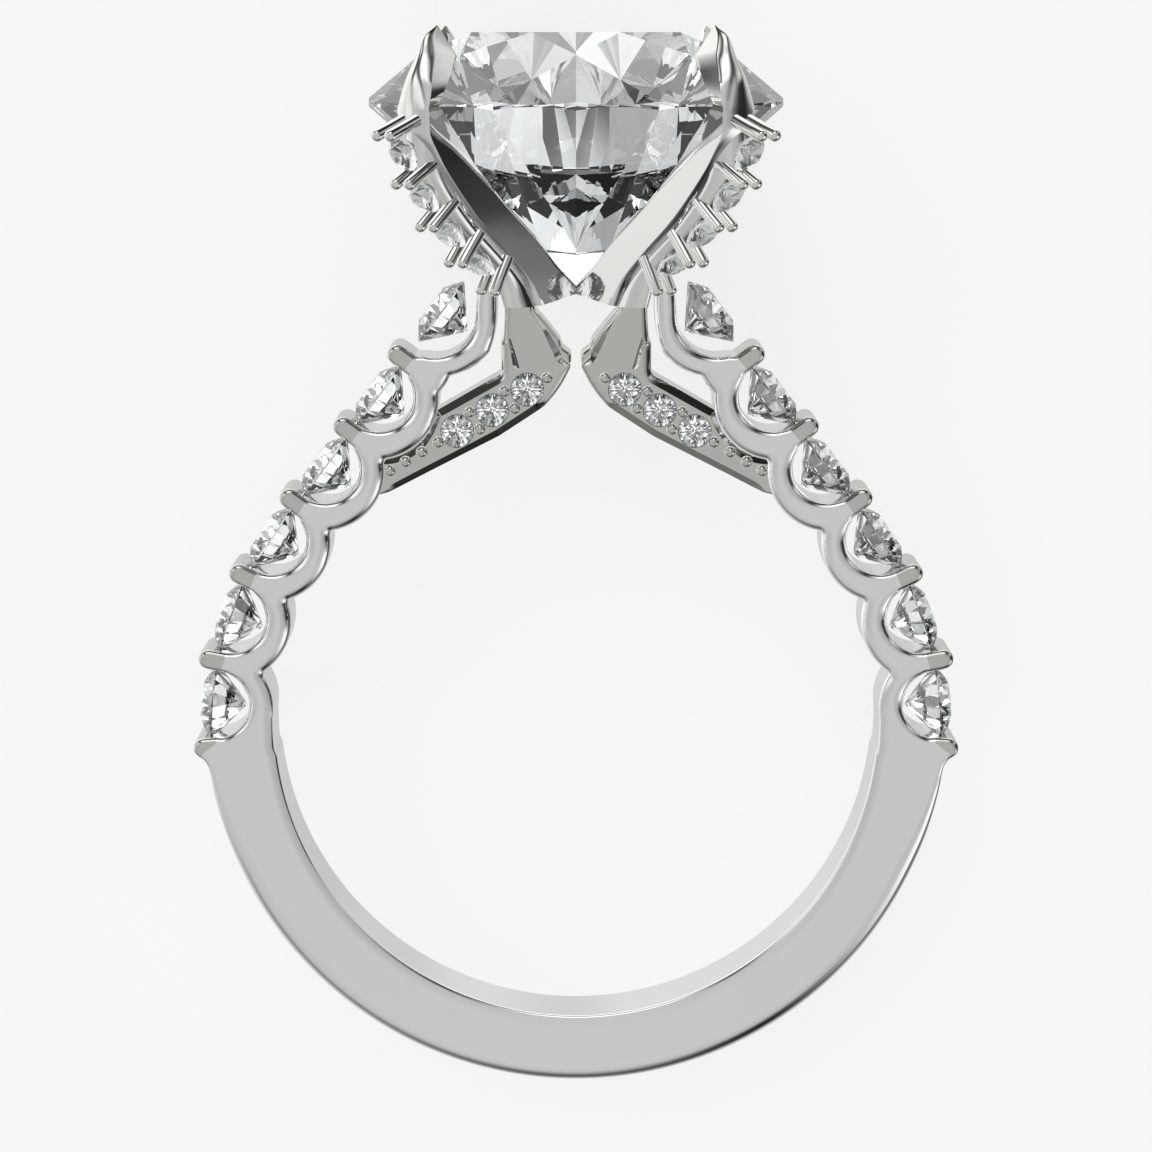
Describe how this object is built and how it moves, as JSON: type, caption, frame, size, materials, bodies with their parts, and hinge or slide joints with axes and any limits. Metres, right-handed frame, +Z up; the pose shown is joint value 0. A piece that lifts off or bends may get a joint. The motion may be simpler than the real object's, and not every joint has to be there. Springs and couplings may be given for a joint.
{
  "type": "cathedral setting ring",
  "caption": "Cathedral setting ring on its side: a round brilliant in split claws set with small stones, scalloped stone-set shoulders and bridge plates over a plain shank.",
  "frame": {"origin": "middle of the bounding box's base, on the surface the ring lies on", "axes": "+Z up from that surface, +Y from the plain shank towards the table of the main stone, +X to the right across the finger hole"},
  "size_m": [0.021, 0.0294, 0.0111],
  "materials": {
    "white_gold": "polished white gold with a rhodium skin",
    "main_brilliant": "faceted and polished, colourless",
    "small_brilliant": "faceted and polished, colourless"
  },
  "bodies": {
    "root": {"mount": "white_gold", "main_stone": "main_brilliant", "shoulder_stone_left_1": "small_brilliant", "shoulder_stone_left_2": "small_brilliant", "shoulder_stone_left_3": "small_brilliant", "shoulder_stone_left_4": "small_brilliant", "shoulder_stone_left_5": "small_brilliant", "shoulder_stone_left_6": "small_brilliant", "shoulder_stone_right_1": "small_brilliant", "shoulder_stone_right_2": "small_brilliant", "shoulder_stone_right_3": "small_brilliant", "shoulder_stone_right_4": "small_brilliant", "shoulder_stone_right_5": "small_brilliant", "shoulder_stone_right_6": "small_brilliant", "claw_stone_1_1": "small_brilliant", "claw_stone_1_2": "small_brilliant", "claw_stone_1_3": "small_brilliant", "claw_stone_1_4": "small_brilliant", "claw_stone_2_1": "small_brilliant", "claw_stone_2_2": "small_brilliant", "claw_stone_2_3": "small_brilliant", "claw_stone_2_4": "small_brilliant", "claw_stone_3_1": "small_brilliant", "claw_stone_3_2": "small_brilliant", "claw_stone_3_3": "small_brilliant", "claw_stone_3_4": "small_brilliant", "claw_stone_4_1": "small_brilliant", "claw_stone_4_2": "small_brilliant", "claw_stone_4_3": "small_brilliant", "claw_stone_4_4": "small_brilliant", "bridge_stone_left_front_1": "small_brilliant", "bridge_stone_left_front_2": "small_brilliant", "bridge_stone_left_front_3": "small_brilliant", "bridge_stone_left_back_1": "small_brilliant", "bridge_stone_left_back_2": "small_brilliant", "bridge_stone_left_back_3": "small_brilliant", "bridge_stone_right_front_1": "small_brilliant", "bridge_stone_right_front_2": "small_brilliant", "bridge_stone_right_front_3": "small_brilliant", "bridge_stone_right_back_1": "small_brilliant", "bridge_stone_right_back_2": "small_brilliant", "bridge_stone_right_back_3": "small_brilliant"}
  },
  "joints": []
}
